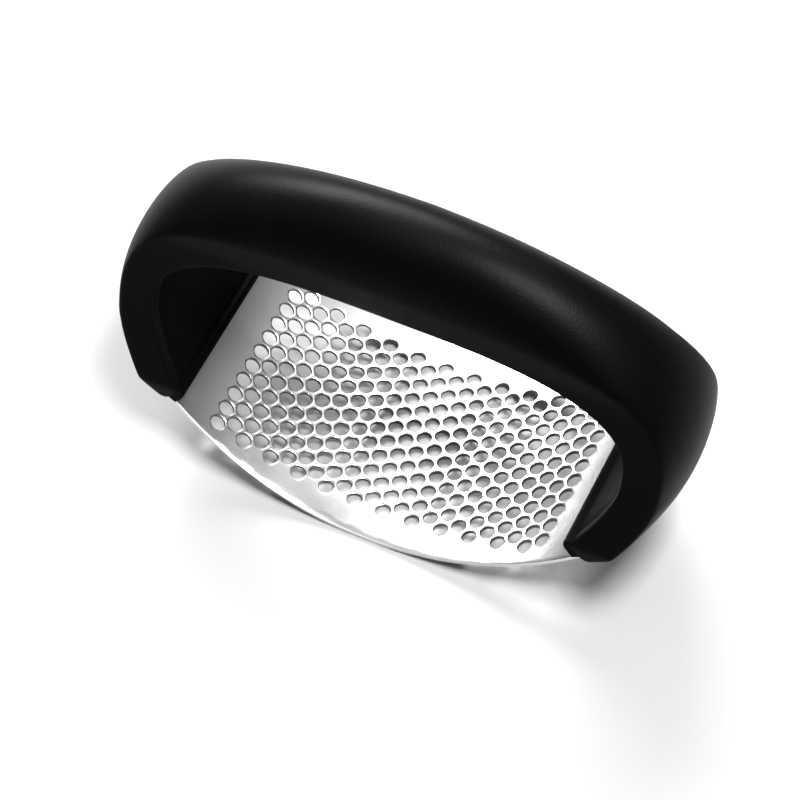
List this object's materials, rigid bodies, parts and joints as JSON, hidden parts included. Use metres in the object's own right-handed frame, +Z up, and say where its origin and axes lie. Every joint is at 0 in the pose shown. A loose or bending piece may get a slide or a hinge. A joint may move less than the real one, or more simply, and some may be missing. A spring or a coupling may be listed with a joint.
{
  "type": "rocking garlic press",
  "caption": "Rocking garlic press: a curved perforated steel plate held in the feet of a hollow black arched handle; garlic is crushed by rocking it on a board.",
  "frame": {"origin": "point under the middle of the plate where the upright tool touches the worktop", "axes": "+X along the length from foot to foot, +Y across the plate, +Z up through the middle of the arch"},
  "size_m": [0.117, 0.0502, 0.0705],
  "materials": {
    "steel_plate": "bright satin stainless steel",
    "handle_plastic": "fine-grained matte black",
    "liner_plastic": "fine-grained matte black",
    "screw_zinc": "zinc-plated steel"
  },
  "bodies": {
    "root": {"perforated_plate": "steel_plate", "handle_outer_shell": "handle_plastic", "handle_inner_shell": "liner_plastic", "shell_screw_left": "screw_zinc", "shell_screw_right": "screw_zinc"}
  },
  "joints": []
}
